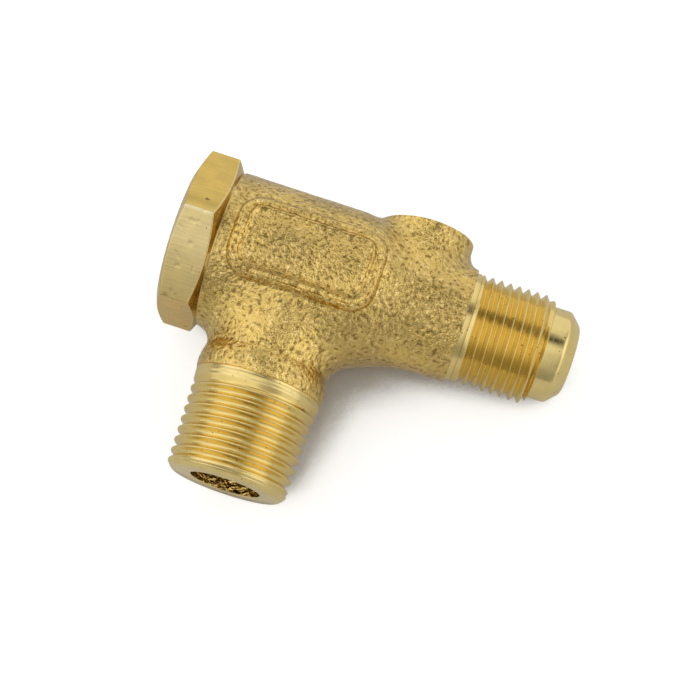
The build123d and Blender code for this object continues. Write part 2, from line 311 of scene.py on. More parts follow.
# Studio dome: its level, and zones as azimuth, elevation, inner and outer edge in degrees, and added light
DOME_LEVEL = 0.88
DOME_ZONES = (
    (163, 44, 10, 34, 0.26),
    (17, 38, 8, 32, 0.30),
    (-80, 70, 5, 22, 0.08),
    (92, 66, 9, 17, -0.62),
    (42, 66, 7, 15, -0.50),
    (52, 42, 6, 20, -0.34),
    (-45, 56, 8, 27, -0.42),
    (130, 50, 6, 22, -0.32),
    (-140, 52, 10, 34, 0.10),
    (-86, 8, 10, 54, -0.56),
    (165, -2, 4, 22, -0.48),
    (12, -3, 2, 20, -0.30),
)

# Camera: the point it looks at, its distance in mm, angles in degrees, and lens and film width in mm
CAMERA_AIM = (12.58, -10.03, 0.0)
CAMERA_DISTANCE = 278.7
CAMERA_AZIMUTH = 5.41
CAMERA_ELEVATION = 74.74
CAMERA_ROLL = -12.74
CAMERA_LENS = 84.88
CAMERA_FILM = 36


class CastingSettings(bpy.types.PropertyGroup):
    """Grid, grain and colours of the casting"""
    cell: FloatProperty(name="Cell", description="Size of the grid the skin is drawn on, in mm",
                        default=0.25, min=0.15, max=1.0)
    grain: FloatProperty(name="Grain", description="Height of the sand grain, in mm", default=0.06)
    skin: FloatVectorProperty(name="Skin", description="Colour of the cast skin", subtype="COLOR", size=4,
                              default=(0.74, 0.52, 0.165, 1.0))
    pits: FloatVectorProperty(name="Pits", description="Colour of the grain's pits", subtype="COLOR", size=4,
                              default=(0.35, 0.23, 0.062, 1.0))
    peaks: FloatVectorProperty(name="Peaks", description="Colour of the grain's rubbed peaks",
                               subtype="COLOR", size=4, default=(0.95, 0.70, 0.28, 1.0))


class TurnedSettings(bpy.types.PropertyGroup):
    """Colours and facets of what is turned"""
    brass: FloatVectorProperty(name="Brass", description="Colour of cut brass", subtype="COLOR", size=4,
                               default=(0.88, 0.69, 0.28, 1.0))
    # Painted shade: a darker, more saturated brass between a thread's crests stands for the shade and
    # interreflection in its valleys
    valley: FloatVectorProperty(name="Valley", description="Colour between the crests of a thread",
                                subtype="COLOR", size=4, default=(0.84, 0.635, 0.225, 1.0))
    segments: IntProperty(name="Segments", description="Facets round a turned form", default=240)


class CapSettings(bpy.types.PropertyGroup):
    """Wear of the cap"""
    edge: FloatProperty(name="Edge", description="Wear of the hexagon's edges, in mm", default=0.16)


class StageSettings(bpy.types.PropertyGroup):
    """Floor of the stage"""
    floor: FloatVectorProperty(name="Floor", description="Colour of the floor", subtype="COLOR", size=4,
                               default=(0.67, 0.67, 0.66, 1.0))
    glow: FloatProperty(name="Glow", description="How far the open floor is lifted to white", default=0.62)


def smooth_min(a, b, width):
    """Smaller of two distances, blended into a fillet where they meet."""
    h = np.clip(width - np.abs(a - b), 0, None) / width
    return np.minimum(a, b) - h * h * width / 4


def smooth_max(a, b, width):
    return -smooth_min(-a, -b, width)


def rounded_plate(x, y):
    """Distance from the nameplate's outline, less than 0 inside it."""
    middle = (PLATE_LEFT_X + PLATE_RIGHT_X) / 2
    half = (PLATE_RIGHT_X - PLATE_LEFT_X) / 2 - PLATE_CORNER_R
    dx = np.abs(x - middle) - half
    dy = np.abs(y) - (PLATE_HALF_HEIGHT - PLATE_CORNER_R)
    outside = np.hypot(np.maximum(dx, 0), np.maximum(dy, 0))
    return outside + np.minimum(np.maximum(dx, dy), 0) - PLATE_CORNER_R


def casting_distance(p):
    """Signed distance from the cast skin at points in mm, with all its blends."""
    x, y, z = p[..., 0], p[..., 1], p[..., 2]
    from_main = np.hypot(y, z)
    from_branch = np.hypot(x, z)
    slope = (BARREL_R - NECK_R) / (NECK_X - SHOULDER_X)
    shoulder = (from_main - NECK_R + (x - NECK_X) * slope) / math.hypot(1, slope)
    neck = from_main - NECK_R + (x - NECK_X) * (NECK_R - NECK_END_R) / (COLLAR_X - NECK_X)
    barrel = smooth_max(from_main - BARREL_R, shoulder, SHOULDER_BLEND)
    body = smooth_min(barrel, neck, NECK_BLEND)
    boss = smooth_max(np.hypot(x - BOSS_X, z) - BOSS_R, -y, END_BLEND)
    body = smooth_min(body, boss, BOSS_BLEND)
    bead = BEAD_R - (BEAD_R - ROOT_R) * np.clip(np.abs(y - BEAD_Y) / (ROOT_Y - BEAD_Y), 0, 1) ** 2
    root = np.where(y > ROOT_Y, ROOT_R, bead)
    branch = smooth_max(from_branch - root, y - BRANCH_TOP_Y, END_BLEND)
    body = smooth_min(body, branch, BRANCH_BLEND)
    from_plate = np.hypot(y + PLATE_LEAN, z)
    edge = rounded_plate(x, y)
    relief = PLATE_RISE + sum(
        rise * np.exp(-((edge + inset) / width) ** 2) for inset, width, rise in PLATE_RIDGES)
    face = smooth_max(from_plate - BARREL_R - relief, -z, END_BLEND)
    plate = smooth_max(face, edge, PLATE_EDGE_BLEND)
    return smooth_min(body, plate, PLATE_FOOT_BLEND)


def neighbours(counts, axis):
    """One step along an axis of a grid, and the slices that pair each point with the next."""
    step = np.eye(3, dtype=int)[axis]
    first = tuple(slice(0, counts[k] - step[k]) for k in range(3))
    second = tuple(slice(step[k], counts[k]) for k in range(3))
    return step, first, second


def surface_net(distance, low, high, cell):
    """Vertices and quads of the surface where a distance is zero, on a grid of cells."""
    counts = np.ceil((high - low) / cell).astype(int) + 1
    axes = [low[k] + np.arange(counts[k]) * cell for k in range(3)]
    grid = np.stack(np.meshgrid(*axes, indexing="ij"), -1)
    value = distance(grid)
    inside = value < 0
    nx, ny, nz = counts - 1
    total = np.zeros((nx, ny, nz, 3))
    hits = np.zeros((nx, ny, nz))
    # A cell's vertex is the mean of the places where its edges cross the surface
    for axis in range(3):
        step, first, second = neighbours(counts, axis)
        a, b = value[first], value[second]
        cross = inside[first] != inside[second]
        t = np.where(cross, a / np.where(cross, a - b, 1), 0)
        place = grid[first] + t[..., None] * step * cell
        others = [k for k in range(3) if k != axis]
        for s in (0, 1):
            for u in (0, 1):
                take = [slice(None)] * 3
                take[others[0]] = slice(s, s + counts[others[0]] - 1)
                take[others[1]] = slice(u, u + counts[others[1]] - 1)
                take = tuple(take)
                total += np.where(cross[take][..., None], place[take], 0)
                hits += cross[take]
    used = hits > 0
    index = np.full((nx, ny, nz), -1)
    index[used] = np.arange(used.sum())
    vertices = total[used] / hits[used][:, None]
    quads = []
    # An edge that crosses the surface gives a quad between the four cells round it
    for axis in range(3):
        step, first, second = neighbours(counts, axis)
        cross = inside[first] != inside[second]
        place = np.stack(np.nonzero(cross), 1)
        u, v = np.eye(3, dtype=int)[(axis + 1) % 3], np.eye(3, dtype=int)[(axis + 2) % 3]
        kept = np.all((place - u - v >= 0) & (place < counts - 1), axis=1)
        place = place[kept]
        corners = [place - u - v, place - v, place, place - u]
        quad = np.stack([index[tuple(c.T)] for c in corners], 1)
        out = inside[first][tuple(place.T)]
        quad[~out] = quad[~out][:, ::-1]
        quads.append(quad)
    return vertices, np.concatenate(quads)


def gradient(distance, p, step=0.02):
    out = np.empty_like(p)
    for axis in range(3):
        move = np.eye(3)[axis] * step
        out[:, axis] = (distance(p + move) - distance(p - move)) / (2 * step)
    return out


def settle(distance, p, rounds=3):
    """Move points onto the surface, and return them with its normals."""
    for _ in range(rounds):
        slope = gradient(distance, p)
        p = p - slope * (distance(p) / np.maximum((slope ** 2).sum(1), 0.2))[:, None]
    slope = gradient(distance, p)
    return p, slope / np.linalg.norm(slope, axis=1)[:, None]


def mesh_object(name, vertices, faces):
    """A mesh object in the frame, from vertices in mm about the crossing."""
    mesh = bpy.data.meshes.new(name)
    placed = (np.asarray(vertices) + CROSS) * MM
    mesh.from_pydata(placed.tolist(), [], [list(map(int, f)) for f in faces])
    mesh.validate()
    piece = bpy.data.objects.new(name, mesh)
    bpy.context.scene.collection.objects.link(piece)
    return piece


def finish_mesh(piece, angle=math.radians(35)):
    mesh = piece.data
    mesh.polygons.foreach_set("use_smooth", [True] * len(mesh.polygons))
    mesh.set_sharp_from_angle(angle=angle)
    mesh.update()


def grain_height(point):
    """Height of the sand grain at a point in mm, about -1 to 1."""
    fine = noise.noise(Vector(point) * FINE_GRAIN)
    coarse = noise.noise(Vector(point) * COARSE_GRAIN + COARSE_SHIFT)
    return FINE_SHARE * fine + COARSE_SHARE * coarse


def box_cutter(low, high):
    """A box between two corners, to keep what lies inside it."""
    spots = [[(low, high)[bits[k]][k] for k in range(3)] for bits in
             ((0, 0, 0), (1, 0, 0), (1, 1, 0), (0, 1, 0), (0, 0, 1), (1, 0, 1), (1, 1, 1), (0, 1, 1))]
    faces = ((3, 2, 1, 0), (4, 5, 6, 7), (0, 1, 5, 4), (1, 2, 6, 5), (2, 3, 7, 6), (3, 0, 4, 7))
    return mesh_object("cutter", spots, faces)


def fix_normals(piece):
    """Join what touches, drop what has no area, and turn every face outwards."""
    mesh_bm = bmesh.new()
    mesh_bm.from_mesh(piece.data)
    bmesh.ops.remove_doubles(mesh_bm, verts=mesh_bm.verts, dist=2e-6)
    bmesh.ops.dissolve_degenerate(mesh_bm, edges=mesh_bm.edges, dist=1e-7)
    bmesh.ops.recalc_face_normals(mesh_bm, faces=mesh_bm.faces)
    mesh_bm.to_mesh(piece.data)
    mesh_bm.free()


def cut(piece, cutter, operation, slot):
    """Cut a piece; the new faces take a material slot."""
    cutter.data.polygons.foreach_set("material_index", [slot] * len(cutter.data.polygons))
    for mesh in (piece.data, cutter.data):
        while len(mesh.materials) < 2:
            mesh.materials.append(None)
    modifier = piece.modifiers.new("cut", "BOOLEAN")
    modifier.operation = operation
    modifier.object = cutter
    modifier.solver = "MANIFOLD"
    depsgraph = bpy.context.evaluated_depsgraph_get()
    result = bpy.data.meshes.new_from_object(piece.evaluated_get(depsgraph))
    piece.modifiers.clear()
    old = piece.data
    piece.data = result
    bpy.data.meshes.remove(old)
    bpy.data.objects.remove(cutter)


def round_angles(segments):
    return np.arange(segments + 1) * 2 * math.pi / segments


def thread_rows(start, end, pitch, lead_in, fade_out, crest, depth, profile, angles):
    """Rows of (place, radius, drop) that lie along a right-handed helix and fade at both ends."""
    rows = []
    for turn in range(-1, int(math.ceil((end - start) / pitch)) + 1):
        for along, drop in profile:
            place = start + (turn + along + (angles - angles[0]) / (2 * math.pi)) * pitch
            place = np.clip(place, start, end)
            fade = np.clip((place - start) / lead_in, 0, 1) * np.clip((end - place) / fade_out, 0, 1)
            rows.append((place, crest(place) - depth * drop * fade, drop * fade))
    return rows


def spun(name, rows, angles, axis=0, centre=0.0):
    """Closed mesh of rows turned about the x axis, or about a line along y at x = centre.

    Places along y are depths below the main axis. A row is (place, radius) or (place, radius, drop);
    the drop is kept on the mesh, so that a finish can tell a valley from a crest.
    """
    one = np.ones_like(angles)
    vertices, drops = [], []
    for row in rows:
        place, radius = row[0] * one, row[1] * one
        a, b = radius * np.cos(angles), radius * np.sin(angles)
        if axis == 0:
            vertices.append(np.stack([place, a, b], 1))
        else:
            vertices.append(np.stack([centre - b, -place, a], 1))
        drops.append((row[2] if len(row) > 2 else 0.0) * one)
    width, count = len(angles), len(rows)
    row, column = np.meshgrid(np.arange(count), np.arange(width - 1), indexing="ij")
    after = (row + 1) % count
    near, far = row * width + column, after * width + column
    corners = (near, near + 1, far + 1, far)
    piece = mesh_object(name, np.concatenate(vertices), np.stack([c.ravel() for c in corners], 1))
    layer = piece.data.attributes.new("drop", "FLOAT", "POINT")
    layer.data.foreach_set("value", np.concatenate(drops))
    fix_normals(piece)
    return piece


def hexagon_radius(turn, edge):
    """Radius of the hexagon with its corners worn to a small round, at angles from a corner."""
    corner = np.abs((turn + 30) % 60 - 30)
    flat = HEX_FLAT_R / np.cos(np.radians(30 - corner))
    hub = (HEX_FLAT_R - edge) / math.cos(math.radians(30))
    side = hub * np.sin(np.radians(corner))
    worn = hub * np.cos(np.radians(corner)) + np.sqrt(np.maximum(edge ** 2 - side ** 2, 0))
    return np.where(side < edge / 2, worn, flat)


def bend(before, corner, after, steps=4):
    """Rows that round a corner between two neighbouring rows."""
    rows = []
    for step in range(steps + 1):
        t = step / steps
        shares = tuple(zip(((1 - t) ** 2, 2 * t * (1 - t), t ** 2), (before, corner, after)))
        rows.append(tuple(sum(share * row[k] for share, row in shares) for k in (0, 1)))
    return rows


def new_material(name):
    """A material with its nodes, links and shader."""
    material = bpy.data.materials.new(name)
    material.use_nodes = True
    nodes = material.node_tree.nodes
    return material, nodes, material.node_tree.links, nodes["Principled BSDF"]


def new_finish(name, metallic=1.0):
    """A material of a piece, with the place of a point on the piece as its last value."""
    material, nodes, links, shader = new_material(name)
    shader.inputs["Metallic"].default_value = metallic
    place = nodes.new("ShaderNodeTexCoord").outputs["Object"]
    return material, nodes, links, shader, place


def noise_field(nodes, links, place, scale, detail, offset=0.0):
    """Noise on the object's own coordinates; a scale of 1000 has features about 1 mm across."""
    field = nodes.new("ShaderNodeTexNoise")
    field.inputs["Scale"].default_value = scale
    field.inputs["Detail"].default_value = detail
    if offset:
        shift = nodes.new("ShaderNodeVectorMath")
        shift.inputs[1].default_value = (offset, offset, offset)
        links.new(place, shift.inputs[0])
        place = shift.outputs[0]
    links.new(place, field.inputs["Vector"])
    return field.outputs["Fac"]


def remap(nodes, links, value, low, high, to_low=0.0, to_high=1.0):
    node = nodes.new("ShaderNodeMapRange")
    node.interpolation_type = "SMOOTHSTEP"
    node.inputs["From Min"].default_value = low
    node.inputs["From Max"].default_value = high
    node.inputs["To Min"].default_value = to_low
    node.inputs["To Max"].default_value = to_high
    links.new(value, node.inputs["Value"])
    return node.outputs["Result"]


def blend(nodes, links, factor, first, second):
    """Mix two colours, each a colour or a socket."""
    node = nodes.new("ShaderNodeMixRGB")
    links.new(factor, node.inputs[0])
    for socket, colour in ((node.inputs[1], first), (node.inputs[2], second)):
        if isinstance(colour, bpy.types.NodeSocket):
            links.new(colour, socket)
        else:
            socket.default_value = colour
    return node.outputs[0]


def weighted(nodes, links, first, second, weight):
    """first + weight * second."""
    node = nodes.new("ShaderNodeMath")
    node.operation = "MULTIPLY_ADD"
    links.new(second, node.inputs[0])
    node.inputs[1].default_value = weight
    links.new(first, node.inputs[2])
    return node.outputs[0]


def roughen(nodes, links, shader, height, distance):
    """Bumps of a given height, in metres."""
    bump = nodes.new("ShaderNodeBump")
    bump.inputs["Distance"].default_value = distance
    links.new(height, bump.inputs["Height"])
    links.new(bump.outputs["Normal"], shader.inputs["Normal"])


def tone(colour, level, warmth=1.0):
    """A colour made lighter or darker, with less blue where the warmth is under 1."""
    return (colour[0] * level, colour[1] * level, colour[2] * level * warmth, 1.0)


def cast_skin(settings):
    """Sand-cast brass: glinting grain, dark pits and patches of lighter and duller skin."""
    material, nodes, links, shader, place = new_finish("cast_skin")
    grain = noise_field(nodes, links, place, SKIN_GRAIN, 2)
    patches = noise_field(nodes, links, place, SKIN_PATCHES, 2, 0.7)
    skin = tuple(settings.skin)
    uneven = remap(nodes, links, patches, 0.40, 0.62)
    patchy = blend(nodes, links, uneven, tone(skin, 0.90), tone(skin, 1.12, 0.94))
    pitted = blend(nodes, links, remap(nodes, links, grain, 0.31, 0.47), tuple(settings.pits), patchy)
    rubbed = remap(nodes, links, grain, 0.56, 0.72)
    links.new(blend(nodes, links, rubbed, pitted, tuple(settings.peaks)), shader.inputs["Base Color"])
    links.new(remap(nodes, links, grain, 0.35, 0.65, 0.20, 0.12), shader.inputs["Roughness"])
    roughen(nodes, links, shader, grain, SKIN_BUMP)
    return material


def turned_finish(settings, name, axis):
    """Cut brass with the fine lines that a tool leaves, and painted shade between a thread's crests: a
    deeper, darker colour in the valleys.
    """
    material, nodes, links, shader, place = new_finish(name)
    along = nodes.new("ShaderNodeSeparateXYZ")
    links.new(place, along.inputs[0])
    lines = nodes.new("ShaderNodeTexNoise")
    lines.noise_dimensions = "1D"
    lines.inputs["Scale"].default_value = TOOL_LINES
    lines.inputs["Detail"].default_value = 2
    links.new(along.outputs[axis], lines.inputs["W"])
    cloud = noise_field(nodes, links, place, TURNED_CLOUD, 3)
    specks = noise_field(nodes, links, place, TURNED_SPECKS, 0, 0.5)
    drop = nodes.new("ShaderNodeAttribute")
    drop.attribute_name = "drop"
    uneven = remap(nodes, links, cloud, 0.35, 0.65)
    brass = blend(nodes, links, uneven, tone(settings.brass, 0.95), tone(settings.brass, 1.02))
    # Painted shade: where a row lies below the crest, the colour turns to the darker, deeper valley colour
    below = remap(nodes, links, drop.outputs["Fac"], 0.01, 0.12)
    colour = blend(nodes, links, below, brass, tuple(settings.valley))
    dirty = remap(nodes, links, specks, 0.80, 0.84)
    colour = blend(nodes, links, dirty, colour, TURNED_DIRT)
    links.new(colour, shader.inputs["Base Color"])
    links.new(remap(nodes, links, cloud, 0.3, 0.7, 0.13, 0.23), shader.inputs["Roughness"])
    roughen(nodes, links, shader, weighted(nodes, links, lines.outputs["Fac"], cloud, 0.5), TURNED_BUMP)
    return material


def drawn_finish():
    """Drawn hexagon bar: lines along the bar, cloudy handling marks, and a colour on each flat that holds
    painted light: lit and shaded flats and a painted highlight along an edge.
    """
    material, nodes, links, shader, place = new_finish("drawn_brass_finish")
    stretch = nodes.new("ShaderNodeMapping")
    stretch.inputs["Scale"].default_value = BAR_STRETCH
    links.new(place, stretch.inputs["Vector"])
    lines = noise_field(nodes, links, stretch.outputs["Vector"], BAR_LINES, 2)
    cloud = noise_field(nodes, links, place, BAR_CLOUD, 3)
    specks = noise_field(nodes, links, place, BAR_SPECKS, 1, 0.4)
    # Vertex colour of the bar with painted light: lit and shaded flats, a painted highlight and a painted
    # gradient
    tint_and_painted_light = nodes.new("ShaderNodeAttribute")
    tint_and_painted_light.attribute_name = "tint_and_painted_light"
    shade = nodes.new("ShaderNodeMixRGB")
    shade.blend_type = "MULTIPLY"
    shade.inputs[0].default_value = 1.0
    links.new(tint_and_painted_light.outputs["Color"], shade.inputs[1])
    handled = remap(nodes, links, weighted(nodes, links, cloud, lines, 0.5), 0.58, 0.95)
    links.new(blend(nodes, links, handled, BAR_DULL, BAR_BRIGHT), shade.inputs[2])
    dirty = remap(nodes, links, specks, 0.75, 0.80)
    links.new(blend(nodes, links, dirty, shade.outputs[0], BAR_DIRT), shader.inputs["Base Color"])
    links.new(remap(nodes, links, cloud, 0.3, 0.7, 0.20, 0.32), shader.inputs["Roughness"])
    roughen(nodes, links, shader, weighted(nodes, links, lines, cloud, 1.2), BAR_BUMP)
    return material


def rubber_finish():
    """Dull black rubber with a faint cloud."""
    material, nodes, links, shader, place = new_finish("rubber_finish", 0.0)
    cloud = noise_field(nodes, links, place, RUBBER_CLOUD, 3)
    links.new(blend(nodes, links, cloud, RUBBER_DARK, RUBBER_PALE), shader.inputs["Base Color"])
    shader.inputs["Roughness"].default_value = 0.5
    roughen(nodes, links, shader, cloud, RUBBER_BUMP)
    return material


def wire_finish():
    """Drawn spring wire."""
    material, nodes, links, shader, place = new_finish("wire_finish")
    cloud = noise_field(nodes, links, place, WIRE_CLOUD, 2)
    links.new(blend(nodes, links, cloud, WIRE_DARK, WIRE_PALE), shader.inputs["Base Color"])
    shader.inputs["Roughness"].default_value = 0.25
    roughen(nodes, links, shader, cloud, WIRE_BUMP)
    return material


def dress(piece, *materials):
    """Give a piece its materials and keep which face has which."""
    mesh = piece.data
    slots = np.zeros(len(mesh.polygons), dtype=np.int32)
    mesh.polygons.foreach_get("material_index", slots)
    mesh.materials.clear()
    for material in materials:
        mesh.materials.append(material)
    mesh.polygons.foreach_set("material_index", np.minimum(slots, len(materials) - 1))


def hand_over(piece, slot, *nodes):
    """Give a finished piece to the valve's fixed body."""
    finish_mesh(piece)
    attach(piece, "valve")
    if nodes:
        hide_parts(*nodes)


def bore_cutters(angles):
    """What is cut out of the casting, each with the material slot of its wall."""
    chamber = [
        (MOUTH_X - CUTTER_SPARE, 0), (MOUTH_X - CUTTER_SPARE, MOUTH_RECESS_R),
        (MOUTH_X + GROOVE_LENGTH, MOUTH_RECESS_R),
        (MOUTH_X + GROOVE_LENGTH, CAP_THREAD_R), (CAP_THREAD_END_X, CAP_THREAD_R),
        (CAP_THREAD_END_X, CHAMBER_R), (CHAMBER_FLOOR_X, CHAMBER_R), (CHAMBER_FLOOR_X, SEAT_OUTER_R),
        (SEAT_X, SEAT_CREST_R), (SEAT_X, INLET_BORE_R),
        (COLLAR_X + CUTTER_SPARE, INLET_BORE_R), (COLLAR_X + CUTTER_SPARE, 0),
    ]
    flare = OUTLET_BORE_R + OUTLET_FLARE
    chamber_end = CAP_THREAD_R - OUTLET_FLARE / 2
    way_out = [
        (CHAMBER_R / 2, 0), (CHAMBER_R / 2, flare), (chamber_end, flare),
        (chamber_end + OUTLET_FLARE, OUTLET_BORE_R), (CUTTER_SPARE - RING_Y, OUTLET_BORE_R),
        (CUTTER_SPARE - RING_Y, 0),
    ]
    tap_end = PORT_TAP_LENGTH - BOSS_FACE_Y
    port_top = -BOSS_FACE_Y - CUTTER_SPARE
    port_mouth = PORT_CHAMFER - BOSS_FACE_Y
    port = [(port_top, 0), (port_top, PORT_R + PORT_CHAMFER + CUTTER_SPARE), (port_mouth, PORT_R)]
    port += thread_rows(port_mouth, tap_end - PORT_THREAD_SHORT, PORT_PITCH, 0.3, 0.3,
                        lambda place: PORT_R, -PORT_THREAD_DEPTH, SHARP_THREAD, angles)
    port += [(tap_end, PORT_R), (tap_end + PORT_POINT, PORT_DRILL_R), (0, PORT_DRILL_R), (0, 0)]
    return (
        (spun("cutter", chamber, angles), 1),
        (spun("cutter", way_out, angles, 1), 0),
        (spun("cutter", port, angles, 1, BOSS_X), 1),
    )


class VALVE_OT_casting(bpy.types.Operator):
    """Draw the cast skin with its blends and sand grain, and cut the bores out of it"""
    bl_idname = "valve.casting"
    bl_label = "Casting"

    def execute(self, context):
        settings = context.scene.valve_casting
        low = np.array([MOUTH_X - GRID_SPARE, RING_Y - GRID_SPARE, -BARREL_R - GRID_UNDER])
        high = np.array([COLLAR_X + GRID_SPARE, BOSS_FACE_Y + GRID_SPARE, BARREL_R + GRID_OVER])

        def bounded(p):
            lid = np.maximum.reduce([
                low[0] + GRID_SHUT - p[..., 0], p[..., 0] - high[0] + GRID_SHUT,
                low[1] + GRID_SHUT - p[..., 1], p[..., 1] - high[1] + GRID_SHUT,
            ])
            return np.maximum(casting_distance(p), lid)

        vertices, quads = surface_net(bounded, low, high, settings.cell)
        vertices, normals = settle(bounded, vertices)
        heights = np.array([grain_height(v) for v in vertices])
        vertices = vertices + normals * (heights * settings.grain)[:, None]
        piece = mesh_object("cast_body", vertices, quads)
        fix_normals(piece)
        reach = 2 * BARREL_R
        kept = box_cutter((MOUTH_X, RING_Y, -reach), (COLLAR_X, BOSS_FACE_Y, reach))
        cut(piece, kept, "INTERSECT", 1)
        for cutter, slot in bore_cutters(round_angles(BORE_SEGMENTS)):
            cut(piece, cutter, "DIFFERENCE", slot)
        dress(piece, cast_skin(settings), turned_finish(context.scene.valve_turned, "machined_brass", 0))
        hand_over(piece, "cast_brass", "valve_body")
        return {"FINISHED"}


class VALVE_OT_nipple(bpy.types.Operator):
    """Turn the nipple with its parallel thread, pilot and nose"""
    bl_idname = "valve.nipple"
    bl_label = "Nipple"

    def execute(self, context):
        settings = context.scene.valve_turned
        angles = round_angles(settings.segments)
        start, end = COLLAR_X + BAND_LENGTH, PILOT_X + THREAD_OVERRUN

        def crest(x):
            """The thread climbs out of the band and is chamfered towards the pilot."""
            climb = COLLAR_R + BAND_STEPS[-1][1] + (x - start) * 0.5
            fall = INLET_R - INLET_LEAD + (end - x) * 0.9
            return np.minimum(np.minimum(INLET_R, climb), fall)

        rows = [(COLLAR_X, INLET_BORE_R)]
        rows += [(COLLAR_X + along, COLLAR_R + rise) for along, rise in BAND_STEPS]
        rows += thread_rows(start, end, INLET_PITCH, 0.9, 0.25, crest, INLET_THREAD_DEPTH,
                            SHARP_THREAD, angles)
        rows += [(PILOT_X + along, PILOT_R + rise) for along, rise in PILOT_STEPS]
        rows += [(CONE_X + along, PILOT_R - fall) for along, fall in CONE_STEPS]
        rows += [(INLET_END_X - before, CONE_END_R - fall) for before, fall in NOSE_STEPS]
        rows += [(INLET_END_X, INLET_BORE_R + BORE_EDGE), (INLET_END_X - BORE_EDGE, INLET_BORE_R)]
        piece = spun("nipple", rows, angles)
        dress(piece, turned_finish(settings, "nipple_finish", 0))
        hand_over(piece, "turned_brass")
        return {"FINISHED"}


def tank_crest(depth):
    """Radius over the taper thread's crests at a depth below the main axis."""
    return GAUGE_R - (GAUGE_LENGTH - (-OUTLET_Y - depth)) * TAPER


class VALVE_OT_tank_end(bpy.types.Operator):
    """Turn the branch's end with its taper thread and machined ring"""
    bl_idname = "valve.tank_end"
    bl_label = "Tank end"

    def execute(self, context):
        settings = context.scene.valve_turned
        angles = round_angles(settings.segments)
        end = -OUTLET_Y
        run_in_r = RING_R - RING_STEPS[-1][1]
        rows = [(-RING_Y, OUTLET_BORE_R)]
        rows += [(-RING_Y + down, RING_R - inside) for down, inside in RING_STEPS]
        rows += thread_rows(-RING_Y + RING_LENGTH, end - TANK_THREAD_SHORT, TANK_PITCH, TANK_LEAD_IN, 1.0,
                            lambda depth: np.minimum(tank_crest(depth), run_in_r), TANK_THREAD_DEPTH,
                            PIPE_THREAD, angles)
        rows += [(end - above, tank_crest(end) - inside) for above, inside in END_STEPS]
        rows += [(end, OUTLET_BORE_R + CORE_EDGE), (end - CORE_EDGE, OUTLET_BORE_R)]
        piece = spun("tank_end", rows, angles, 1)
        for face in piece.data.polygons:
            middle = np.array(face.center) / MM - CROSS
            in_bore = math.hypot(middle[0], middle[2]) < OUTLET_BORE_R + 0.005
            face.material_index = 1 if in_bore else 0
        dress(piece, turned_finish(settings, "tank_end_finish", 1), cast_skin(context.scene.valve_casting))
        hand_over(piece, "turned_brass")
        return {"FINISHED"}


def knocked(place, radius, turn):
    """Radius of a row on the hexagon's side, less the depth of the knocks on it."""
    around = np.radians(turn)
    for at, x, long, wide, lean, depth in KNOCKS:
        gap = (around - math.radians(at)) * HEX_FLAT_R / math.cos(math.radians((at % 60) - 30)) ** 2
        c, s = math.cos(math.radians(lean)), math.sin(math.radians(lean))
        u, v = (place - x) * c + gap * s, gap * c - (place - x) * s
        radius = radius - depth * np.exp(-(u / long) ** 4 - (v / wide) ** 2)
    return radius


